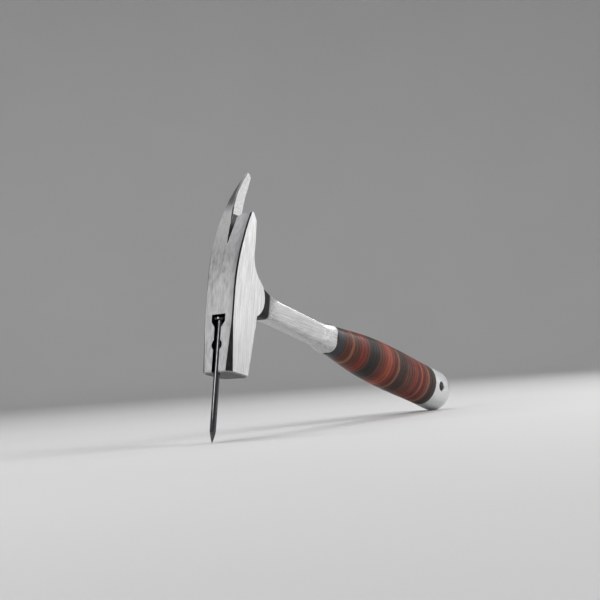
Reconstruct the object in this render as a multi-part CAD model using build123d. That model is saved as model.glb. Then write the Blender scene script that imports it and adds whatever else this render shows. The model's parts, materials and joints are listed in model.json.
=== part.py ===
from build123d import *
import math
import os

# A roofer's hammer forged in one piece, with a stacked leather grip.
# It stands as it is put down on a flat surface: on the tip of the nail held in the nail starter
# and on the underside of the end cap.
#
# Everything is modelled in the tool frame, in millimetres, and turned into the standing pose last.
# Tool frame: Z runs up the head from the striking face to the claw, X runs from the head to the
# end of the grip, Y runs across. The origin is where the head's axis meets the handle's axis.
# Handle frame: the same, drooped by HANDLE_DROOP, with X along the handle's axis.

# Head
HEAD_HALF = 12.2            # half the striking face, and the head's axis to its top face
EYE_HALF = 11.9             # half the width of the head at the eye
FACE_Z = -57.3              # striking face
FACE_LEG = 3.6              # leg of the corner cut on the striking face
FACE_RIM = 0.8              # bevel round the striking face
POLL_TOP_Z = -23.5          # where the tapering poll meets the eye
POLL_BACK_X = 14.1          # back of the head at that height
EDGE_LEG = 0.9              # corner cut along the eye and the claw
BACK_LEG = 0.3              # the same on the back of the poll, where it meets the eye
CLAW_HALF = 13.0            # half the width of the claw
CLAW_FLARE_Z = 36.0         # height at which the claw has reached that width
CHEEK_R = 14.0              # round cheek behind the eye
CHEEK_X = 9.0
CHEEK_Z = -1.5
CHEEK_END = -65             # degrees from X to where the cheek runs into the back of the poll
THROAT_R = 22.0             # hollow between the claw and the cheek
CLAW_BACK_X = 6.4           # back of the claw at its thinnest
CLAW_CURVE_R = 145.0        # curve of the top face from the eye to the tip of the spike
CLAW_CURVE_Z = -1.0

# Claw
SPIKE_TIP_Z = 97.0
SPIKE_HEEL = (28.8, 93.0)   # x, z where the point bevel starts at the back of the spike
SPIKE_BACK = (12.3, 62.0)   # x, z where the back of the spike turns straight
SPIKE_ROOT_Z = 35.0
POINT_Z = 90.0              # where the sides of the spike turn in to its point
SPIKE_BEVEL = 0.8           # along the inner edge of its top face
SPIKE_INNER = [             # y, z of the spike from its outer side over the tip to the notch
    (CLAW_HALF, POINT_Z),
    (12.8, 98.0),
    (11.9, 98.0),
    (10.8, POINT_Z),
    (8.2, 75.0),
    (3.3, 56.0),
    (0.3, 33.0),
]
PRONG_TOP_Z = 55.4
PRONG_TIP = (1.9, 56.5)
PRONG_HEEL = (5.9, 51.5)
PRONG_INNER = [             # y, z of the prong, the same way round
    (-CLAW_HALF, 57.0),
    (-7.0, 57.0),
    (-1.9, 53.0),
    (-1.9, 46.0),
    (-0.3, 33.0),
]
NOTCH_Z = 33.0              # bottom of the nail notch

# Nail starter in the top face
GROOVE_HALF = 2.75
GROOVE_AXIS_X = -9.9
MAGNET_R = 4.25
MAGNET_Z = -38.6
MAGNET_FACE_X = -7.45
MAGNET_SEAT_X = -3.0
POCKET_HALF = 5.6
POCKET_TOP_Z = -17.7
POCKET_SIDE_Z = -22.8
POCKET_NECK_Z = -26.7
POCKET_FLOOR_X = -5.0
CUT_DEPTH = 20.0            # how far each cut reaches out through the top face

# Nail
NAIL_R = 2.1
NAIL_AXIS_X = -9.7
NAIL_HEAD_R = 4.3
NAIL_HEAD_THICK = 1.7
NAIL_HEAD_UNDER = 0.5       # cone under the head
NAIL_TOP_Z = -19.9
NAIL_TIP_Z = -103.9
NAIL_POINT = 6.0

# Handle
HANDLE_DROOP = 3.15         # degrees
SHAFT_HALF_Z = 8.7
SHAFT_HALF_Y = 6.4
SHAFT_CORNER = 3.8
NECK_START_X = 14.0
NECK_END_X = 48.0
NECK_EXTRA_Y = 5.0          # added half width where the neck enters the head
NECK_EXTRA_TOP = 1.6        # added height there, above and below the handle's axis
NECK_EXTRA_BOTTOM = 3.0
COLLAR_START_X = 106.0
COLLAR_END_X = 124.0
COLLAR_HALF_Z = 11.0
COLLAR_CORNER = 7.2
COLLAR_BELT = 3.0           # straight stretch at its grip end
COLLAR_RIM = 0.8            # bevel round that end
GRIP_SQUASH = 0.88          # width of the oval grip over its height
TANG_HALF_Z = 5.0
TANG_HALF_Y = 3.0
TANG_CORNER = 1.0
TANG_ROOT = 4.0             # how deep the tang starts inside the collar
TANG_END_X = 302.0
TANG_CLEARANCE = 0.1

# Grip, from the collar to the end of the cap
RING_COUNT = 34
LEATHER_START_X = 134.4
LEATHER_END_X = 273.6
CAP_START_X = 276.8
CAP_APEX_X = 312.4
CAP_HALF_Z = 17.7
CAP_SHOULDER_R = 13.5       # rounding between the cap's side and its domed end
CAP_DOME_R = 23.0
CAP_EDGE_X = CAP_APEX_X - CAP_DOME_R + math.sqrt(
    (CAP_DOME_R - CAP_SHOULDER_R) ** 2 - (CAP_HALF_Z - CAP_SHOULDER_R) ** 2
)                           # where the cap's side turns into its shoulder
GRIP_SHAPE = [              # distance along the handle, half height
    (COLLAR_END_X, 11.4),
    (LEATHER_START_X, 12.2),
    (162.0, 15.3),
    (198.0, 17.5),
    (236.0, 17.8),
    (LEATHER_END_X, 17.4),
    (CAP_EDGE_X, CAP_HALF_Z),
]
LANYARD_X = 286.8
LANYARD_HOLE_R = 4.6
LANYARD_TUBE_R = 4.0        # bore of the tube

BEYOND = 60.0               # reaches past the part in any direction
CLOSE = 0.3                 # nearer than this counts as on the face


def in_xz(*points):
    return [(x, 0, z) for x, z in points]


def in_yz(*points):
    return [(0, y, z) for y, z in points]


def top_face(z):
    """Point of the curved top face at height z."""
    rise = z - CLAW_CURVE_Z
    return (CLAW_CURVE_R - HEAD_HALF - math.sqrt(CLAW_CURVE_R**2 - rise**2), z)


def on_top_face(point):
    return point.X < top_face(max(point.Z, CLAW_CURVE_Z))[0] + CLOSE


def throat_centre():
    x = CLAW_BACK_X + THROAT_R
    reach = math.sqrt((THROAT_R + CHEEK_R) ** 2 - (x - CHEEK_X) ** 2)
    return (x, CHEEK_Z + reach)


def on_circle(centre, radius, degrees):
    turn = math.radians(degrees)
    return (centre[0] + radius * math.cos(turn), centre[1] + radius * math.sin(turn))


def head_side(top_z, end_corners, back_edges):
    """Side view of the head from the poll up, with one of the two claw ends.

    end_corners lead from the top face at top_z to the back of that claw end.
    """
    throat = throat_centre()
    cheek = (CHEEK_X, CHEEK_Z)
    tangent = math.degrees(math.atan2(throat[1] - CHEEK_Z, throat[0] - CHEEK_X))
    joint = on_circle(cheek, CHEEK_R, tangent)
    cheek_end = on_circle(cheek, CHEEK_R, CHEEK_END)
    throat_start = (CLAW_BACK_X, throat[1])
    throat_mid = on_circle(throat, THROAT_R, 180 + tangent / 2)
    corner = (-HEAD_HALF, POLL_TOP_Z)
    curve_start = (-HEAD_HALF, CLAW_CURVE_Z)
    curve_mid = top_face((CLAW_CURVE_Z + top_z) / 2)
    end = [top_face(top_z), *end_corners]
    return make_face([
        Line(*in_xz(corner, curve_start)),
        ThreePointArc(*in_xz(curve_start, curve_mid, top_face(top_z))),
        *[Line(*in_xz(*pair)) for pair in zip(end, end[1:])],
        *back_edges,
        Line(*in_xz((CLAW_BACK_X, SPIKE_ROOT_Z), throat_start)),
        ThreePointArc(*in_xz(throat_start, throat_mid, joint)),
        ThreePointArc(*in_xz(joint, on_circle(cheek, CHEEK_R, 0), cheek_end)),
        Line(*in_xz(cheek_end, (POLL_BACK_X, POLL_TOP_Z))),
        Line(*in_xz((POLL_BACK_X, POLL_TOP_Z), corner)),
    ])


def slab(face, direction):
    return extrude(face, amount=BEYOND, dir=direction, both=True)


def claw_half(side, ends):
    """Front view of one half of the claw, from the head's axis out to its side."""
    outer = [
        (0, POLL_TOP_Z),
        (side * EYE_HALF, POLL_TOP_Z),
        (side * EYE_HALF, 0),
        (side * CLAW_HALF, CLAW_FLARE_Z),
    ]
    return make_face(Polyline(*in_yz(*outer, *ends, (0, NOTCH_Z)), close=True))


def spike():
    back = [
        Line(*in_xz(SPIKE_HEEL, SPIKE_BACK)),
        TangentArc(
            *in_xz((CLAW_BACK_X, SPIKE_ROOT_Z), SPIKE_BACK), tangent=(0, 0, 1)
        ),
    ]
    side_view = head_side(SPIKE_TIP_Z, [SPIKE_HEEL], back)
    front_view = claw_half(1, SPIKE_INNER)
    body = slab(side_view, (0, 1, 0)) & slab(front_view, (1, 0, 0))

    def is_inner_corner(edge):
        middle = edge @ 0.5
        ends = edge.bounding_box()
        clear_of_prong = ends.min.Z > PRONG_TOP_Z and ends.max.Z < POINT_Z + 1
        return clear_of_prong and 0 < middle.Y < EYE_HALF and on_top_face(middle)

    return chamfer([edge for edge in body.edges() if is_inner_corner(edge)], SPIKE_BEVEL)


def prong():
    back = [Line(*in_xz(PRONG_HEEL, (CLAW_BACK_X, SPIKE_ROOT_Z)))]
    side_view = head_side(PRONG_TOP_Z, [PRONG_TIP, PRONG_HEEL], back)
    front_view = claw_half(-1, PRONG_INNER)
    return slab(side_view, (0, 1, 0)) & slab(front_view, (1, 0, 0))


def head_section(z, half, top_x, back_x, leg, back_leg):
    """Section across the poll: a rectangle with its corners cut at 45 degrees."""
    points = [
        (top_x, -half + leg),
        (top_x + leg, -half),
        (back_x - back_leg, -half),
        (back_x, -half + back_leg),
        (back_x, half - back_leg),
        (back_x - back_leg, half),
        (top_x + leg, half),
        (top_x, half - leg),
    ]
    return make_face(Polyline(*[(x, y, z) for x, y in points], close=True))


def poll():
    inner = HEAD_HALF - FACE_RIM
    top = head_section(POLL_TOP_Z, EYE_HALF, -HEAD_HALF, POLL_BACK_X, EDGE_LEG, BACK_LEG)
    bottom = head_section(FACE_Z + FACE_RIM, HEAD_HALF, -HEAD_HALF, HEAD_HALF, FACE_LEG, FACE_LEG)
    rim = head_section(FACE_Z, inner, -inner, inner, FACE_LEG, FACE_LEG)
    return loft([top, bottom], ruled=True) + loft([bottom, rim], ruled=True)


def eye_and_claw():
    body = spike() + prong()

    def is_long_corner(edge):
        middle = edge @ 0.5
        below_point = edge.bounding_box().max.Z < POINT_Z + 1
        return below_point and abs(middle.Y) > EYE_HALF - CLOSE and on_top_face(middle)

    corners = [edge for edge in body.edges() if is_long_corner(edge)]
    return chamfer(corners, EDGE_LEG)


def handle_section(x, half_y, top, bottom, corner):
    plane = Plane(origin=(x, 0, (top - bottom) / 2), x_dir=(0, 1, 0), z_dir=(1, 0, 0))
    return plane * RectangleRounded(2 * half_y, top + bottom, corner)


def neck():
    steps = 6
    sections = []
    for step in range(steps + 1):
        x = NECK_START_X + (NECK_END_X - NECK_START_X) * step / steps
        near_head = (1 + math.cos(math.pi * step / steps)) / 2
        half_y = SHAFT_HALF_Y + NECK_EXTRA_Y * near_head
        top = SHAFT_HALF_Z + NECK_EXTRA_TOP * near_head
        bottom = SHAFT_HALF_Z + NECK_EXTRA_BOTTOM * near_head
        sections.append(handle_section(x, half_y, top, bottom, SHAFT_CORNER))
    return loft(sections)


def collar():
    steps = 5
    sections = []
    half_y_end = COLLAR_HALF_Z * GRIP_SQUASH
    for step in range(steps + 1):
        x = COLLAR_START_X + (COLLAR_END_X - COLLAR_BELT - COLLAR_START_X) * step / steps
        share = (1 - math.cos(math.pi * step / steps)) / 2
        half_z = SHAFT_HALF_Z + (COLLAR_HALF_Z - SHAFT_HALF_Z) * share
        half_y = SHAFT_HALF_Y + (half_y_end - SHAFT_HALF_Y) * share
        corner = SHAFT_CORNER + (COLLAR_CORNER - SHAFT_CORNER) * share
        sections.append(handle_section(x, half_y, half_z, half_z, corner))
    belt = handle_section(
        COLLAR_END_X - COLLAR_RIM, half_y_end, COLLAR_HALF_Z, COLLAR_HALF_Z, COLLAR_CORNER
    )
    rim_half_z = COLLAR_HALF_Z - COLLAR_RIM
    rim = handle_section(
        COLLAR_END_X, half_y_end - COLLAR_RIM, rim_half_z, rim_half_z, COLLAR_CORNER - COLLAR_RIM
    )
    return loft(sections) + loft([sections[-1], belt], ruled=True) + loft([belt, rim], ruled=True)


def tang(clearance=0.0):
    half_z = TANG_HALF_Z + clearance
    start = COLLAR_END_X - TANG_ROOT
    section = handle_section(start, TANG_HALF_Y + clearance, half_z, half_z, TANG_CORNER)
    return extrude(section, amount=TANG_END_X - start + clearance, dir=(1, 0, 0))


def shaft():
    section = handle_section(NECK_END_X, SHAFT_HALF_Y, SHAFT_HALF_Z, SHAFT_HALF_Z, SHAFT_CORNER)
    return extrude(section, amount=COLLAR_START_X - NECK_END_X, dir=(1, 0, 0))


def nail_starter():
    """The space cut into the top face for a nail, its head and the magnet."""
    past_face = 2
    length = POCKET_NECK_Z - FACE_Z + past_face
    middle = (POCKET_NECK_Z + FACE_Z - past_face) / 2
    opening = Pos(GROOVE_AXIS_X - CUT_DEPTH / 2, 0, middle) * Box(CUT_DEPTH, 2 * GROOVE_HALF, length)
    floor = Pos(GROOVE_AXIS_X, 0, middle) * Cylinder(GROOVE_HALF, length)
    pocket_points = [
        (-POCKET_HALF, POCKET_TOP_Z),
        (POCKET_HALF, POCKET_TOP_Z),
        (POCKET_HALF, POCKET_SIDE_Z),
        (GROOVE_HALF, POCKET_NECK_Z),
        (-GROOVE_HALF, POCKET_NECK_Z),
        (-POCKET_HALF, POCKET_SIDE_Z),
    ]
    outline = make_face(Polyline(*in_yz(*pocket_points), close=True))
    pocket = extrude(Pos(POCKET_FLOOR_X, 0, 0) * outline, amount=CUT_DEPTH, dir=(-1, 0, 0))
    seat = along_x(MAGNET_SEAT_X - CUT_DEPTH, MAGNET_SEAT_X, MAGNET_R, MAGNET_Z)
    return opening + floor + pocket + seat


def along_x(x_from, x_to, radius, z):
    plane = Plane(origin=(x_from, 0, z), x_dir=(0, 1, 0), z_dir=(1, 0, 0))
    return extrude(plane * Circle(radius), amount=x_to - x_from)


def cross_hole(radius):
    plane = Plane(origin=(LANYARD_X, -BEYOND, 0), x_dir=(1, 0, 0), z_dir=(0, 1, 0))
    return extrude(plane * Circle(radius), amount=2 * BEYOND)


def forged_hammer():
    handle = neck() + shaft() + collar() + tang() - cross_hole(LANYARD_HOLE_R)
    return eye_and_claw() + poll() + DROOP * handle - nail_starter()


def nail_magnet():
    return along_x(MAGNET_FACE_X, MAGNET_SEAT_X, MAGNET_R, MAGNET_Z)


def nail():
    shank_top = NAIL_TOP_Z - NAIL_HEAD_THICK
    profile = [
        (0, NAIL_TIP_Z),
        (NAIL_R, NAIL_TIP_Z + NAIL_POINT),
        (NAIL_R, shank_top),
        (NAIL_HEAD_R, shank_top + NAIL_HEAD_UNDER),
        (NAIL_HEAD_R, NAIL_TOP_Z),
        (0, NAIL_TOP_Z),
    ]
    half = make_face(Polyline(*in_xz(*profile), close=True))
    return Pos(NAIL_AXIS_X, 0, 0) * revolve(half, Axis.Z)


def grip_envelope():
    """Outer shape of the whole grip and its cap, an oval all the way along."""
    contour = Spline(*in_xz(*GRIP_SHAPE), tangents=[(1, 0, 0.06), (1, 0, 0)])
    shoulder = (CAP_EDGE_X, CAP_HALF_Z - CAP_SHOULDER_R)
    dome = (CAP_APEX_X - CAP_DOME_R, 0)
    meeting = math.degrees(math.atan2(shoulder[1], shoulder[0] - dome[0]))
    shoulder_mid = on_circle(shoulder, CAP_SHOULDER_R, (90 + meeting) / 2)
    shoulder_end = on_circle(shoulder, CAP_SHOULDER_R, meeting)
    dome_mid = on_circle(dome, CAP_DOME_R, meeting / 2)
    half = make_face([
        Line(*in_xz((COLLAR_END_X, 0), (COLLAR_END_X, GRIP_SHAPE[0][1]))),
        contour,
        ThreePointArc(*in_xz(GRIP_SHAPE[-1], shoulder_mid, shoulder_end)),
        ThreePointArc(*in_xz(shoulder_end, dome_mid, (CAP_APEX_X, 0))),
        Line(*in_xz((CAP_APEX_X, 0), (COLLAR_END_X, 0))),
    ])
    return scale(revolve(half, Axis.X), by=(1, GRIP_SQUASH, 1))


def grip_slice(envelope, x_from, x_to):
    middle = (x_from + x_to) / 2
    plate = Pos(middle, 0, 0) * Box(x_to - x_from, BEYOND, BEYOND)
    return envelope & plate


def end_cap(envelope):
    shell = grip_slice(envelope, CAP_START_X, CAP_APEX_X + 1)
    return shell - tang(TANG_CLEARANCE) - cross_hole(LANYARD_HOLE_R)


def lanyard_tube(envelope):
    return (cross_hole(LANYARD_HOLE_R) - cross_hole(LANYARD_TUBE_R)) & envelope


def handle_pieces():
    """Every piece threaded on the tang, in order from the collar to the cap."""
    envelope = grip_envelope()
    slot = tang(TANG_CLEARANCE)
    pieces = {"front_spacer": grip_slice(envelope, COLLAR_END_X, LEATHER_START_X) - slot}
    thickness = (LEATHER_END_X - LEATHER_START_X) / RING_COUNT
    for ring in range(RING_COUNT):
        start = LEATHER_START_X + ring * thickness
        name = f"leather_ring_{ring + 1:02d}"
        pieces[name] = grip_slice(envelope, start, start + thickness) - slot
    pieces["rear_spacer"] = grip_slice(envelope, LEATHER_END_X, CAP_START_X) - slot
    pieces["end_cap"] = end_cap(envelope)
    pieces["lanyard_tube"] = lanyard_tube(envelope)
    return {name: DROOP * piece for name, piece in pieces.items()}


def standing():
    """Turn about Y and shift that stand the tool on its nail tip and the underside of its cap."""
    tip = Vector(NAIL_AXIS_X, 0, NAIL_TIP_Z)
    shoulder = (DROOP * Pos(CAP_EDGE_X, 0, CAP_SHOULDER_R - CAP_HALF_Z)).position - tip
    rise = math.atan2(shoulder.Z, shoulder.X)
    angle = rise - math.asin(CAP_SHOULDER_R / math.hypot(shoulder.X, shoulder.Z))
    return Rotation(0, math.degrees(angle), 0) * Pos(-tip.X, 0, -tip.Z)


DROOP = Rotation(0, HANDLE_DROOP, 0)

pieces = {"forged_hammer": forged_hammer(), "nail_magnet": nail_magnet(), "nail": nail()}
pieces.update(handle_pieces())
stand = standing()
placed = {name: stand * piece for name, piece in pieces.items()}
box = Compound(list(placed.values())).bounding_box()
to_origin = Pos(-(box.min.X + box.max.X) / 2, 0, -box.min.Z)

os.makedirs("parts", exist_ok=True)
for name, piece in placed.items():
    export_step(to_origin * piece, f"parts/{name}.step")
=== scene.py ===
import json
import math

import bmesh
import bpy
from mathutils import Matrix, Vector


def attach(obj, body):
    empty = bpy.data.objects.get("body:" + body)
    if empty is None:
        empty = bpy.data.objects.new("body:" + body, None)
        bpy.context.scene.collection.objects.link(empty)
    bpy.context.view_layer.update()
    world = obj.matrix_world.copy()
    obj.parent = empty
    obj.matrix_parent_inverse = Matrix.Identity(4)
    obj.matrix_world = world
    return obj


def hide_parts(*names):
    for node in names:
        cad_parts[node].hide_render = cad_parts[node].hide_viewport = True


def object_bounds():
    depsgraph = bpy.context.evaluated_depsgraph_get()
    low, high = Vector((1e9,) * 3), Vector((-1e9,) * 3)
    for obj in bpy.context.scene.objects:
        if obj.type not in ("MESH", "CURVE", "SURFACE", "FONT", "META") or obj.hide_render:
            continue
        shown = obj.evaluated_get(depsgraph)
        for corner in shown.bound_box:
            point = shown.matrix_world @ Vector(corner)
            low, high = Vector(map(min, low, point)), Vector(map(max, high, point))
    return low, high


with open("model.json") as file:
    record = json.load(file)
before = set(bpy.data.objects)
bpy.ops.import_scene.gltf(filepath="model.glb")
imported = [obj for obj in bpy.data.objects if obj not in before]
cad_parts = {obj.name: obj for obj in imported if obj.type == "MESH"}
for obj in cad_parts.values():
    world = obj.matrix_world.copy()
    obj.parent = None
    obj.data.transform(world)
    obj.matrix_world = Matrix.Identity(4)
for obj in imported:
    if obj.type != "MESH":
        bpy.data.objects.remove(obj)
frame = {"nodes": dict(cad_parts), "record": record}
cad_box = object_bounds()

# A forged roofing hammer with a leather ring grip, standing on the tip of the nail in its nail
# starter and on its end cap. The values in the groups marked mm, and all lengths in materials, are
# in millimetres in the tool frame or the handle frame. Everything else is in metres.

NODES = frame["nodes"]
RECORD = frame["record"]
MOUNTS = {mount["name"]: mount for mount in RECORD["mounts"]}

# The tool frame, in mm: Z up the head, X from the head to the grip, Y across
FACE_BELOW_ORIGIN = 57.3    # striking face to the crossing of the head's and the handle's axes
FACE_POINT_X = 2.0          # the striking face's stated point, from the head's axis
HEAD_HALF = 12.2
FACE_EDGE_Z = -56.5         # just above the striking face

# Where the forging's finish and its painted shade change, in mm in the tool frame
NECK_START_X = 14.0
NECK_HALF = 11.675          # just inside the head's cheeks
NECK_TOP_Z = 25.0
SHAFT_START_X = 34.75       # the shaft is ground bright from here on
COLLAR_SIDE_X = 37.0        # the handle may be wider than the neck from here on
CORNER_END_X = 4.0          # the corner cuts lie before this
BACK_END_X = 35.0           # the head's black back lies before this and below the next
BACK_TOP_Z = 55.0
CLAW_Z = 55.0               # the spike's ground inner facet lies above this
SPIKE_DARK_Z = 63.5         # painted shade darkens the spike's outer face above this
NEAR_EDGE_Y = -9.0          # painted shade darkens the top face beyond this, up to the next height
NEAR_EDGE_TOP_Z = 66.0

# Notch between spike and prong, in mm in the tool frame
NOTCH_HALF = 6.15
NOTCH_BOTTOM_Z = 32.0
NOTCH_TOP_Z = 57.1

# Nail starter, in mm in the tool frame
POCKET_HALF = 5.8
POCKET_TOP_Z = -17.5
GROOVE_FLOOR_X = -2.8

# Nail, in mm in the tool frame
NAIL_X = -9.7
NAIL_TOP_Z = -19.9
NAIL_TIP_Z = -103.9
NAIL_POINT_LENGTH = 8.0
NAIL_POINT_STEPS = 6
NAIL_SHANK_RADIUS = 2.1
NAIL_HEAD_RADIUS = 4.3
GRIP_MARKS = 7
GRIP_MARKS_START = 4.2      # below the nail's top
GRIP_MARK_PITCH = 0.9
GRIP_MARK_DEPTH = 0.16
NAIL_SIDES = 40

# Leather rings, in mm in the handle frame
RING_COUNT = 34
LEATHER_START_X = 134.4
LEATHER_END_X = 273.6

# Camera and studio
CAMERA_AT = (-0.80144, -0.48554, 0.04642)
CAMERA_FORWARD = (0.83906, 0.54135, 0.05396)
CAMERA_UP = (-0.00779, -0.08723, 0.99616)
LENS = 72.953
SENSOR = 36.0
FLOOR_RADIUS = 1.6
FLOOR_CURVE = 0.6
FLOOR_CURVE_STEPS = 12
FLOOR_SIDES = 96
WALL_HEIGHT = 2.4

LIGHTS = [                  # name, offset from the hammer's middle, size, power in watts
    ("key", (0.55, -0.85, 0.75), (0.8, 0.6), 9.0),
    ("side", (0.82, -0.82, 0.22), (1.25, 0.5), 1.8),
    ("strip", (1.02, -0.33, 0.52), (0.55, 0.14), 1.1),
    ("front", (-1.10, 0.25, 0.37), (0.4, 0.52), 4.6),
    ("top", (0.10, 0.15, 1.25), (0.9, 0.4), 6.5),
    ("claw", (-0.45, 0.65, 1.02), (0.6, 0.5), 1.1),
]
WORLD_COLOUR = (0.85, 0.88, 0.92, 1.0)
WORLD_STRENGTH = 0.32

SHARP_ANGLE = 32.0          # degrees; a sharper edge gets a small rounding
SOFT_EDGE = 0.22            # width of that rounding in mm, apart from these nodes
SOFT_EDGES = {"forged_hammer": 0.25, "end_cap": 0.35, "nail_magnet": 0.2}

LEATHER = {                 # slot: darker and lighter colour of its cut edge
    "leather_brown": ((0.030, 0.007, 0.004), (0.125, 0.030, 0.014)),
    "leather_tan": ((0.085, 0.028, 0.013), (0.250, 0.098, 0.048)),
    "leather_red": ((0.065, 0.007, 0.004), (0.235, 0.028, 0.013)),
    "leather_orange": ((0.115, 0.017, 0.007), (0.350, 0.070, 0.026)),
    "leather_dark": ((0.010, 0.004, 0.003), (0.042, 0.013, 0.008)),
    "leather_black": ((0.004, 0.003, 0.003), (0.016, 0.010, 0.009)),
    "leather_oxblood": ((0.028, 0.003, 0.003), (0.110, 0.010, 0.007)),
}


def tool_frame():
    """Tool frame at rest: Z up the head, X from the head to the grip, origin where the axes cross."""
    face = MOUNTS["striking_face"]
    z_axis = -Vector(face["axis"]).normalized()
    y_axis = Vector((0, 1, 0))
    x_axis = y_axis.cross(z_axis)
    origin = Vector(face["pos_m"]) + (z_axis * FACE_BELOW_ORIGIN - x_axis * FACE_POINT_X) / 1000
    return framed(x_axis, y_axis, z_axis, origin)


def handle_frame(tool):
    """The same, with X along the handle's axis."""
    x_axis = (Vector(MOUNTS["lanyard_hole"]["pos_m"]) - tool.translation).normalized()
    y_axis = Vector((0, 1, 0))
    return framed(x_axis, y_axis, x_axis.cross(y_axis), tool.translation)


def framed(x_axis, y_axis, z_axis, origin):
    """The matrix of a frame with these axes."""
    matrix = Matrix((x_axis, y_axis, z_axis)).transposed().to_4x4()
    matrix.translation = origin
    return matrix


TOOL = tool_frame()
HANDLE = handle_frame(TOOL)


class Shader:
    """A Principled material with coordinates in millimetres in a frame of the tool."""

    def __init__(self, name, axes):
        self.material = bpy.data.materials.new(name)
        self.material.use_nodes = True
        self.tree = self.material.node_tree
        self.bsdf = self.tree.nodes["Principled BSDF"]
        self.coords = self.tree.nodes.new("ShaderNodeTexCoord")
        turn = axes.to_3x3().transposed()
        self.turn = turn.to_euler()
        place = self.tree.nodes.new("ShaderNodeMapping")
        place.inputs["Scale"].default_value = (1000, 1000, 1000)
        place.inputs["Rotation"].default_value = self.turn
        place.inputs["Location"].default_value = turn @ (-axes.translation * 1000)
        self.link(self.coords.outputs["Object"], place.inputs["Vector"])
        self.place = place.outputs["Vector"]
        split = self.tree.nodes.new("ShaderNodeSeparateXYZ")
        self.link(self.place, split.inputs[0])
        self.x, self.y, self.z = split.outputs

    def link(self, source, socket):
        """Feeds a socket from another socket, or sets it to a plain value."""
        if isinstance(source, bpy.types.NodeSocket):
            self.tree.links.new(source, socket)
        else:
            socket.default_value = source

    def set(self, **values):
        """Feeds the shader's own inputs, named with _ for a space."""
        for name, value in values.items():
            self.link(value, self.bsdf.inputs[name.replace("_", " ")])

    def math(self, operation, *values):
        node = self.tree.nodes.new("ShaderNodeMath")
        node.operation = operation
        for value, socket in zip(values, node.inputs):
            self.link(value, socket)
        return node.outputs[0]

    def step(self, value, low, high):
        """0 below low, 1 above high, smooth between; low above high turns it round."""
        node = self.tree.nodes.new("ShaderNodeMapRange")
        node.interpolation_type = "SMOOTHSTEP"
        falls = low > high
        ends = (min(low, high), max(low, high), 1.0 if falls else 0.0, 0.0 if falls else 1.0)
        self.link(value, node.inputs["Value"])
        for socket, end in zip(("From Min", "From Max", "To Min", "To Max"), ends):
            node.inputs[socket].default_value = end
        return node.outputs["Result"]

    def over(self, value, limit, soft):
        """1 where value is over the limit, with a smooth change from limit - soft to limit + soft."""
        return self.step(value, limit - soft, limit + soft)

    def under(self, value, limit, soft):
        """1 where value is under the limit, with the same smooth change."""
        return self.step(value, limit + soft, limit - soft)

    def size_of(self, value):
        """The value without its sign."""
        return self.math("ABSOLUTE", value)

    def share(self, mask, most):
        """The mask, but never more than most."""
        return self.math("MULTIPLY", mask, most)

    def all_of(self, *masks):
        """Where every mask holds."""
        result = masks[0]
        for mask in masks[1:]:
            result = self.math("MULTIPLY", result, mask)
        return result

    def any_of(self, *masks):
        """Where at least one mask holds."""
        result = masks[0]
        for mask in masks[1:]:
            result = self.math("MAXIMUM", result, mask)
        return result

    def noise(self, per_mm, detail=3.0, rough=0.55, warp=0.0, shift=0.0):
        """Noise with this many features per millimetre along X, Y and Z."""
        stretch = self.tree.nodes.new("ShaderNodeMapping")
        stretch.inputs["Scale"].default_value = per_mm
        stretch.inputs["Location"].default_value = (shift, shift, shift)
        self.link(self.place, stretch.inputs["Vector"])
        node = self.tree.nodes.new("ShaderNodeTexNoise")
        node.inputs["Scale"].default_value = 1.0
        node.inputs["Detail"].default_value = detail
        node.inputs["Roughness"].default_value = rough
        node.inputs["Distortion"].default_value = warp
        self.link(stretch.outputs["Vector"], node.inputs["Vector"])
        return node.outputs["Fac"]

    def mix(self, share, first, second):
        """A colour between first and second."""
        node = self.tree.nodes.new("ShaderNodeMix")
        node.data_type = "RGBA"
        self.link(share, node.inputs["Factor"])
        ends = [socket for socket in node.inputs if socket.type == "RGBA"]
        for value, socket in zip((first, second), ends):
            colour = value if isinstance(value, bpy.types.NodeSocket) else (*value, 1.0)
            self.link(colour, socket)
        return next(socket for socket in node.outputs if socket.type == "RGBA")

    def blend(self, share, first, second):
        """A number between first and second."""
        node = self.tree.nodes.new("ShaderNodeMix")
        node.data_type = "FLOAT"
        self.link(share, node.inputs[0])
        self.link(first, node.inputs[2])
        self.link(second, node.inputs[3])
        return node.outputs[0]

    def normal_axes(self):
        """The surface's normal in this frame, as three numbers."""
        turn = self.tree.nodes.new("ShaderNodeMapping")
        turn.vector_type = "NORMAL"
        turn.inputs["Rotation"].default_value = self.turn
        self.link(self.coords.outputs["Normal"], turn.inputs["Vector"])
        split = self.tree.nodes.new("ShaderNodeSeparateXYZ")
        self.link(turn.outputs["Vector"], split.inputs[0])
        return split.outputs

    def edges(self, radius_mm):
        """1 on sharp edges, 0 elsewhere."""
        bevel = self.tree.nodes.new("ShaderNodeBevel")
        bevel.samples = 4
        bevel.inputs["Radius"].default_value = radius_mm / 1000
        geometry = self.tree.nodes.new("ShaderNodeNewGeometry")
        dot = self.tree.nodes.new("ShaderNodeVectorMath")
        dot.operation = "DOT_PRODUCT"
        self.link(bevel.outputs["Normal"], dot.inputs[0])
        self.link(geometry.outputs["Normal"], dot.inputs[1])
        return self.step(dot.outputs["Value"], 0.985, 0.86)

    def bump(self, height, depth_mm):
        """Fine relief of this depth where height is 1."""
        node = self.tree.nodes.new("ShaderNodeBump")
        node.inputs["Distance"].default_value = depth_mm / 1000
        self.link(height, node.inputs["Height"])
        self.link(node.outputs["Normal"], self.bsdf.inputs["Normal"])


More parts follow.
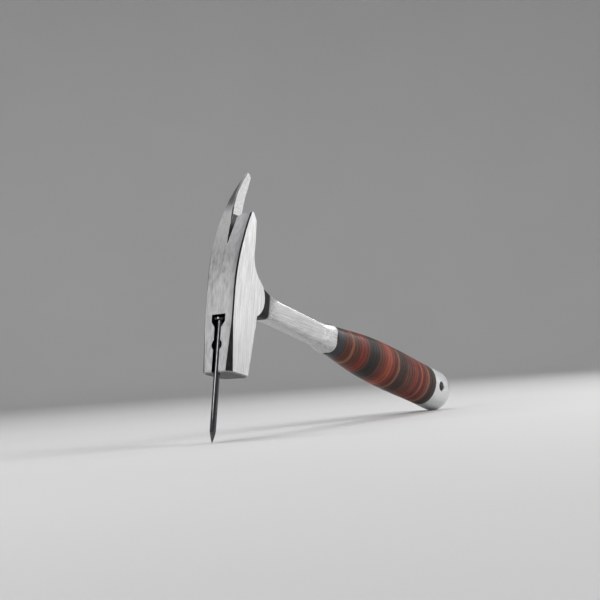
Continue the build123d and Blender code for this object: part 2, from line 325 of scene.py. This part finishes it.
def head_regions(s, nx, ny, nz):
    """Masks of the head's differently finished surfaces and of its painted shade, from place and normal.
    """
    across = s.size_of(s.y)
    sideways = s.size_of(ny)
    return {
        "side": s.step(sideways, 0.80, 0.92),
        "inner_facet": s.all_of(
            s.over(s.z, CLAW_Z, 3.0),
            s.under(ny, -0.65, 0.10),
            s.over(s.y, 0.5, 0.5),
        ),
        # painted shade: the corner cuts near black
        "corner_cut": s.all_of(
            s.over(s.math("MULTIPLY", s.size_of(nx), sideways), 0.36, 0.06),
            s.under(s.x, CORNER_END_X, 1.0),
        ),
        # painted shade: the nail starter's pocket near black
        "starter": s.all_of(
            s.step(s.x, -HEAD_HALF + 0.15, -HEAD_HALF + 0.5),
            s.step(s.x, GROOVE_FLOOR_X + 0.4, GROOVE_FLOOR_X),
            s.step(across, POCKET_HALF + 0.2, POCKET_HALF),
            s.step(s.z, POCKET_TOP_Z + 0.2, POCKET_TOP_Z),
            s.over(s.z, FACE_EDGE_Z, 0.1),
        ),
        "back": s.all_of(
            s.over(nx, 0.65, 0.10),
            s.under(s.z, BACK_TOP_Z, 5.0),
            s.under(s.x, BACK_END_X, 5.0),
        ),
        # painted shade: the notch between spike and prong near black
        "notch": s.all_of(
            s.under(across, NOTCH_HALF, 0.35),
            s.over(sideways, 0.60, 0.10),
            s.over(s.z, NOTCH_BOTTOM_Z, 1.0),
            s.under(s.z, NOTCH_TOP_Z, 0.4),
        ),
        # painted shade: the spike's outer face dark towards its top
        "painted_shade_spike": s.all_of(
            s.under(nx, -0.525, 0.075),
            s.over(s.z, SPIKE_DARK_Z, 6.5),
            s.over(s.y, 1.0, 0.5),
        ),
        # painted shade: the top face darker along its near edge
        "painted_shade_edge": s.all_of(
            s.under(nx, -0.775, 0.075),
            s.under(s.y, NEAR_EDGE_Y, 3.0),
            s.under(s.z, NEAR_EDGE_TOP_Z, 6.0),
        ),
        # the striking face near black: partly a dark hardened face, partly painted shade
        "face": s.all_of(
            s.under(nz, -0.825, 0.075),
            s.under(s.z, FACE_EDGE_Z, 0.5),
        ),
    }


def handle_regions(s):
    """Masks of the whole handle, its neck, which is painted near black as shade, and its ground shaft
    with the collar.
    """
    neck_room = s.all_of(
        s.over(s.x, NECK_START_X, 0.5),
        s.under(s.size_of(s.y), NECK_HALF, 0.075),
        s.under(s.z, NECK_TOP_Z, 1.0),
    )
    handle = s.any_of(neck_room, s.over(s.x, COLLAR_SIDE_X, 1.0))
    shaft = s.all_of(handle, s.over(s.x, SHAFT_START_X, 1.75))
    neck = s.all_of(handle, s.math("SUBTRACT", 1.0, shaft))
    return handle, neck, shaft


def forged_steel():
    """Satin top face, brushed sides and shaft, ground spike facet, the head's back black as forged;
    painted shade in the neck, the nail starter, the notch and the corner cuts, on the spike's outer face
    and along the top face's near edge; the striking face near black, partly a dark hardened face and
    partly painted shade.
    """
    s = Shader("forged_steel", TOOL)
    region = head_regions(s, *s.normal_axes())
    handle, neck, shaft = handle_regions(s)
    bright_parts = s.any_of(region["side"], shaft)
    # Near black: the head's back as forged, and painted shade in the nail starter, the neck, the notch,
    # the corner cuts, on the spike's outer face and partly on the striking face
    forged_black_and_shade = s.any_of(
        region["starter"],
        neck,
        region["back"],
        s.share(region["face"], 0.82),
        s.share(region["notch"], 0.93),
        s.share(region["corner_cut"], 0.93),
        s.share(region["painted_shade_spike"], 0.80),
    )

    up_head = s.step(s.noise((1.9, 1.9, 0.035), detail=4.0, rough=0.65), 0.34, 0.66)
    along_handle = s.step(s.noise((0.04, 1.9, 1.9), detail=4.0, rough=0.65, shift=3.0), 0.34, 0.66)
    brushed = s.blend(handle, up_head, along_handle)
    ground = s.step(s.noise((1.2, 1.2, 3.5), detail=3.0, rough=0.7, shift=7.0), 0.34, 0.66)
    mottle = s.step(s.noise((0.55, 0.55, 0.14), detail=6.0, rough=0.66, shift=11.0), 0.28, 0.72)
    grain = s.noise((3.2, 3.2, 3.2), detail=4.0, rough=0.7, shift=5.0)
    cloud = s.step(s.noise((0.045, 0.045, 0.03), detail=3.0, shift=2.0), 0.42, 0.70)
    worn = s.all_of(
        s.edges(0.45),
        s.step(grain, 0.30, 0.60),
        s.blend(s.any_of(region["starter"], region["corner_cut"]), 0.7, 0.2),
    )

    satin = s.mix(mottle, (0.32, 0.32, 0.325), (0.48, 0.48, 0.485))
    side_steel = s.mix(brushed, (0.54, 0.54, 0.545), (0.80, 0.80, 0.795))
    shaft_steel = s.mix(brushed, (0.42, 0.42, 0.425), (0.66, 0.66, 0.655))
    facet_steel = s.mix(ground, (0.20, 0.20, 0.20), (0.66, 0.66, 0.655))
    # Near-black colour for the forged black back and for the painted shade
    black_and_shade_colour = s.mix(mottle, (0.008, 0.008, 0.009), (0.036, 0.034, 0.033))
    colour = s.mix(bright_parts, satin, s.mix(shaft, side_steel, shaft_steel))
    # Painted shade along the top face's near edge
    colour = s.mix(s.share(region["painted_shade_edge"], 0.5), colour, (0.17, 0.17, 0.175))
    colour = s.mix(region["inner_facet"], colour, facet_steel)
    colour = s.mix(s.share(cloud, 0.22), colour, (0.42, 0.405, 0.39))
    colour = s.mix(forged_black_and_shade, colour, black_and_shade_colour)
    colour = s.mix(worn, colour, (0.90, 0.90, 0.89))

    rough = s.blend(bright_parts, s.blend(mottle, 0.34, 0.52), s.blend(brushed, 0.24, 0.42))
    rough = s.blend(region["inner_facet"], rough, s.blend(ground, 0.48, 0.70))
    rough = s.blend(forged_black_and_shade, rough, s.blend(grain, 0.42, 0.70))
    rough = s.blend(worn, rough, 0.26)
    relief = s.blend(bright_parts, s.blend(0.5, mottle, grain), brushed)
    relief = s.blend(region["inner_facet"], relief, ground)
    s.set(Base_Color=colour, Metallic=1.0, Roughness=rough)
    s.bump(relief, 0.012)
    return s.material


def leather(slot):
    """Lacquered leather ring: layers and fibres round the grip, pores, a dark joint at each end."""
    dark, light = LEATHER[slot]
    s = Shader(slot, HANDLE)
    layers = s.noise((3.0, 0.05, 0.05), detail=5.0, rough=0.65)
    fibres = s.noise((6.5, 0.7, 0.7), detail=4.0, rough=0.7, shift=4.0)
    pores = s.noise((2.2, 2.2, 2.2), detail=5.0, rough=0.7, shift=13.0)
    rubbed = s.step(s.noise((0.35, 0.11, 0.11), detail=3.0, rough=0.5, shift=9.0), 0.52, 0.72)
    ring_thickness = (LEATHER_END_X - LEATHER_START_X) / RING_COUNT
    rings_along = s.math("DIVIDE", s.math("SUBTRACT", s.x, LEATHER_START_X), ring_thickness)
    in_ring = s.math("FRACT", s.math("ADD", rings_along, 0.5))
    joint = s.step(s.size_of(s.math("SUBTRACT", in_ring, 0.5)), 0.050, 0.015)

    tone = s.math("ADD", s.share(layers, 0.75), s.share(fibres, 0.25))
    lighter = tuple(min(1.0, channel * 1.5 + 0.012) for channel in light)
    colour = s.mix(s.step(tone, 0.34, 0.64), dark, light)
    colour = s.mix(s.share(rubbed, 0.35), colour, lighter)
    colour = s.mix(s.share(s.step(pores, 0.60, 0.72), 0.5), colour, dark)
    colour = s.mix(s.share(joint, 0.9), colour, (0.006, 0.004, 0.003))
    rough = s.blend(joint, s.blend(tone, 0.34, 0.56), 0.85)
    s.set(Base_Color=colour, Roughness=rough, Specular_IOR_Level=0.20)
    s.set(Coat_Weight=0.12, Coat_Roughness=0.16)
    s.bump(s.math("SUBTRACT", s.blend(0.35, tone, pores), joint), 0.05)
    return s.material


def spacer():
    """Black plastic with turning marks and dust."""
    s = Shader("spacer", HANDLE)
    turned = s.noise((5.0, 0.1, 0.1), detail=4.0)
    dust = s.noise((0.8, 0.8, 0.8), detail=5.0, rough=0.7, shift=3.0)
    colour = s.mix(s.step(dust, 0.45, 0.75), (0.006, 0.006, 0.009), (0.030, 0.030, 0.038))
    s.set(Base_Color=colour, Roughness=s.blend(turned, 0.26, 0.48), Specular_IOR_Level=0.35)
    s.set(Coat_Weight=0.08, Coat_Roughness=0.3)
    s.bump(s.blend(0.4, turned, dust), 0.015)
    return s.material


def cap_steel():
    """Turned and polished steel with scuffs and bright edges."""
    s = Shader("cap_steel", HANDLE)
    turned = s.noise((7.0, 0.12, 0.12), detail=5.0, rough=0.65)
    mottle = s.noise((0.3, 0.3, 0.3), detail=5.0, rough=0.6, shift=6.0)
    scuffs = s.step(s.noise((1.4, 0.25, 0.9), detail=4.0, rough=0.7, warp=1.2, shift=1.0), 0.60, 0.70)
    worn = s.share(s.edges(0.5), 0.7)
    colour = s.mix(mottle, (0.58, 0.58, 0.59), (0.86, 0.86, 0.87))
    colour = s.mix(s.share(scuffs, 0.35), colour, (0.36, 0.36, 0.36))
    colour = s.mix(worn, colour, (0.93, 0.93, 0.92))
    s.set(Base_Color=colour, Metallic=1.0, Roughness=s.blend(worn, s.blend(turned, 0.28, 0.46), 0.2))
    s.bump(turned, 0.010)
    return s.material


def plain_metal(name, axes, dark, light, roughness, grain_per_mm):
    """Metal with lengthwise or turned grain, darker stains and bright worn edges."""
    s = Shader(name, axes)
    grain = s.noise(grain_per_mm, detail=4.0, rough=0.6)
    stains = s.step(s.noise((0.5, 0.5, 0.35), detail=4.0, rough=0.6, shift=5.0), 0.48, 0.70)
    stained = tuple(channel * 0.35 for channel in dark)
    polished = tuple(min(1.0, channel * 1.8) for channel in light)
    colour = s.mix(grain, dark, light)
    colour = s.mix(s.share(stains, 0.4), colour, stained)
    colour = s.mix(s.share(s.edges(0.3), 0.6), colour, polished)
    s.set(Base_Color=colour, Metallic=1.0, Roughness=s.blend(grain, *roughness))
    s.bump(grain, 0.008)
    return s.material


def finishes():
    """Every material, by the record's material slot."""
    found = {
        "forged_steel": forged_steel(),
        "spacer": spacer(),
        "cap_steel": cap_steel(),
        "magnet": plain_metal(
            "magnet", TOOL,
            dark=(0.10, 0.10, 0.105), light=(0.20, 0.20, 0.205),
            roughness=(0.30, 0.50), grain_per_mm=(0.8, 0.8, 0.8),
        ),
        "tube_steel": plain_metal(
            "tube_steel", HANDLE,
            dark=(0.45, 0.45, 0.455), light=(0.75, 0.75, 0.75),
            roughness=(0.40, 0.60), grain_per_mm=(3.0, 0.1, 3.0),
        ),
        "nail_steel": plain_metal(
            "nail_steel", TOOL,
            dark=(0.050, 0.050, 0.055), light=(0.17, 0.17, 0.18),
            roughness=(0.08, 0.18), grain_per_mm=(2.5, 2.5, 0.06),
        ),
    }
    found.update({slot: leather(slot) for slot in LEATHER})
    return found


def crisp_faces():
    """Node group that joins a CAD mesh along its seams and shades it by the angle of its edges."""
    group = bpy.data.node_groups.new("crisp_faces", "GeometryNodeTree")
    for way in ("INPUT", "OUTPUT"):
        group.interface.new_socket("Geometry", in_out=way, socket_type="NodeSocketGeometry")
    new, link = group.nodes.new, group.links.new
    merge = new("GeometryNodeMergeByDistance")
    merge.inputs["Distance"].default_value = 1e-6
    forget = new("GeometryNodeRemoveAttribute")
    forget.inputs["Name"].default_value = "custom_normal"
    smooth_faces = new("GeometryNodeSetShadeSmooth")
    smooth_edges = new("GeometryNodeSetShadeSmooth")
    smooth_edges.domain = "EDGE"
    angle = new("GeometryNodeInputMeshEdgeAngle")
    is_soft = new("FunctionNodeCompare")
    is_soft.operation = "LESS_THAN"
    is_soft.inputs["B"].default_value = math.radians(SHARP_ANGLE)
    chain = [new("NodeGroupInput"), merge, forget, smooth_faces, smooth_edges, new("NodeGroupOutput")]
    for first, second in zip(chain, chain[1:]):
        link(first.outputs[0], second.inputs[0])
    link(angle.outputs["Unsigned Angle"], is_soft.inputs["A"])
    link(is_soft.outputs["Result"], smooth_edges.inputs["Shade Smooth"])
    return group


def soften(node, group, width_mm):
    """Rounds the sharp edges of a CAD node with modifiers."""
    crisp = node.modifiers.new("crisp_faces", "NODES")
    crisp.node_group = group
    bevel = node.modifiers.new("soft_edges", "BEVEL")
    bevel.width = width_mm / 1000
    bevel.segments = 2
    bevel.limit_method = "ANGLE"
    bevel.angle_limit = math.radians(SHARP_ANGLE)
    bevel.harden_normals = True


def nail_rings():
    """Rings of the nail from its head down: height, radius and how square the ring is."""
    top, head, shank = NAIL_TOP_Z, NAIL_HEAD_RADIUS, NAIL_SHANK_RADIUS
    rings = [
        (top, 0.55 * head, 0.0),
        (top - 0.06, 0.86 * head, 0.0),
        (top - 0.35, head, 0.0),
        (top - 1.35, head, 0.0),
        (top - 1.70, 0.93 * head, 0.0),
        (top - 2.20, shank, 0.0),
    ]
    for mark in range(GRIP_MARKS):
        z = top - GRIP_MARKS_START - GRIP_MARK_PITCH * mark
        rings += [
            (z, shank, 0.0),
            (z - 0.20, shank - GRIP_MARK_DEPTH, 0.0),
            (z - 0.45, shank - GRIP_MARK_DEPTH, 0.0),
            (z - 0.65, shank, 0.0),
        ]
    for step in range(NAIL_POINT_STEPS):
        done = step / NAIL_POINT_STEPS
        rings.append((NAIL_TIP_Z + NAIL_POINT_LENGTH * (1 - done), shank * (1 - done) ** 0.8, done))
    return rings


def nail_ring_vertices(mesh, z, radius, square):
    """One ring of the nail, from round (square 0) to four-sided with blunt corners (square 1)."""
    row = []
    for side in range(NAIL_SIDES):
        turn = 2 * math.pi * side / NAIL_SIDES
        four_sided = min(0.86 / max(abs(math.cos(turn)), abs(math.sin(turn))), 1.12)
        reach = radius * (1 - square + square * four_sided)
        place = Vector((NAIL_X + reach * math.cos(turn), reach * math.sin(turn), z))
        row.append(mesh.verts.new(TOOL @ (place / 1000)))
    return row


def nail_piece(material):
    """Wire nail with grip marks under its head and a four-sided point."""
    mesh = bmesh.new()
    rows = [nail_ring_vertices(mesh, *ring) for ring in nail_rings()]
    crown = mesh.verts.new(TOOL @ (Vector((NAIL_X, 0, NAIL_TOP_Z)) / 1000))
    point = mesh.verts.new(TOOL @ (Vector((NAIL_X, 0, NAIL_TIP_Z)) / 1000))
    for i in range(NAIL_SIDES):
        j = (i + 1) % NAIL_SIDES
        mesh.faces.new((crown, rows[0][i], rows[0][j]))
        mesh.faces.new((point, rows[-1][j], rows[-1][i]))
        for high, low in zip(rows, rows[1:]):
            mesh.faces.new((high[j], high[i], low[i], low[j]))
    bmesh.ops.recalc_face_normals(mesh, faces=mesh.faces)
    piece = mesh_object("wire_nail", mesh)
    piece.data.set_sharp_from_angle(angle=math.radians(SHARP_ANGLE))
    paint(piece, material)
    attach(piece, "nail")
    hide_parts("nail")


def mesh_object(name, mesh):
    """Smooth-shaded object from a bmesh, which is freed."""
    data = bpy.data.meshes.new(name)
    mesh.to_mesh(data)
    mesh.free()
    data.polygons.foreach_set("use_smooth", [True] * len(data.polygons))
    item = bpy.data.objects.new(name, data)
    bpy.context.scene.collection.objects.link(item)
    return item


def paint(node, material):
    """Makes this the node's only material."""
    node.data.materials.clear()
    node.data.materials.append(material)


def dress_nodes():
    """Gives every CAD node its finish and soft edges, and adds the nail."""
    slots = {part["node"]: part["material_slot"] for part in RECORD["subparts"]}
    materials = finishes()
    crisp = crisp_faces()
    nail_piece(materials["nail_steel"])
    for name, node in NODES.items():
        paint(node, materials[slots[name]])
        soften(node, crisp, SOFT_EDGES.get(name, SOFT_EDGE))


def camera():
    """Camera at the viewing angle given at the top."""
    data = bpy.data.cameras.new("camera")
    data.lens = LENS
    data.sensor_width = SENSOR
    item = bpy.data.objects.new("camera", data)
    forward = Vector(CAMERA_FORWARD).normalized()
    right = forward.cross(Vector(CAMERA_UP)).normalized()
    item.matrix_world = framed(right, right.cross(forward), -forward, Vector(CAMERA_AT))
    bpy.context.scene.collection.objects.link(item)
    bpy.context.scene.camera = item


def studio_floor():
    """A round floor that curves up into a wall all the way round."""
    profile = [(FLOOR_RADIUS, 0.0)]
    for step in range(1, FLOOR_CURVE_STEPS + 1):
        turn = math.radians(90 * step / FLOOR_CURVE_STEPS)
        profile.append((FLOOR_RADIUS + FLOOR_CURVE * math.sin(turn), FLOOR_CURVE * (1 - math.cos(turn))))
    profile.append((FLOOR_RADIUS + FLOOR_CURVE, WALL_HEIGHT))
    turns = [2 * math.pi * side / FLOOR_SIDES for side in range(FLOOR_SIDES)]
    mesh = bmesh.new()
    centre = mesh.verts.new((0, 0, 0))
    rows = [
        [mesh.verts.new((radius * math.cos(turn), radius * math.sin(turn), z)) for turn in turns]
        for radius, z in profile
    ]
    for i in range(FLOOR_SIDES):
        j = (i + 1) % FLOOR_SIDES
        mesh.faces.new((centre, rows[0][i], rows[0][j]))
        for low, high in zip(rows, rows[1:]):
            mesh.faces.new((low[i], high[i], high[j], low[j]))
    floor = mesh_object("studio_floor", mesh)
    s = Shader("studio_floor", Matrix.Identity(4))
    cloud = s.noise((0.004, 0.004, 0.004), detail=2.0)
    s.set(Base_Color=s.mix(cloud, (0.62, 0.615, 0.61), (0.66, 0.655, 0.65)), Roughness=0.75)
    paint(floor, s.material)


def area_light(name, offset, size, power):
    """A soft panel at this offset from the middle of the hammer, turned towards it."""
    data = bpy.data.lights.new(name, "AREA")
    data.shape = "RECTANGLE"
    data.size, data.size_y = size
    data.energy = power
    place = Matrix.Translation((cad_box[0] + cad_box[1]) / 2 + Vector(offset))
    panel = bpy.data.objects.new(name, data)
    panel.matrix_world = place @ Vector(offset).to_track_quat("Z", "Y").to_matrix().to_4x4()
    panel.visible_camera = False
    bpy.context.scene.collection.objects.link(panel)


def studio_light():
    """Soft panels round the hammer and a pale surrounding light."""
    for light in LIGHTS:
        area_light(*light)
    world = bpy.data.worlds.new("studio")
    world.use_nodes = True
    background = world.node_tree.nodes["Background"]
    background.inputs["Color"].default_value = WORLD_COLOUR
    background.inputs["Strength"].default_value = WORLD_STRENGTH
    bpy.context.scene.world = world
    bpy.context.scene.view_settings.view_transform = "Standard"


camera()
studio_floor()
studio_light()
dress_nodes()
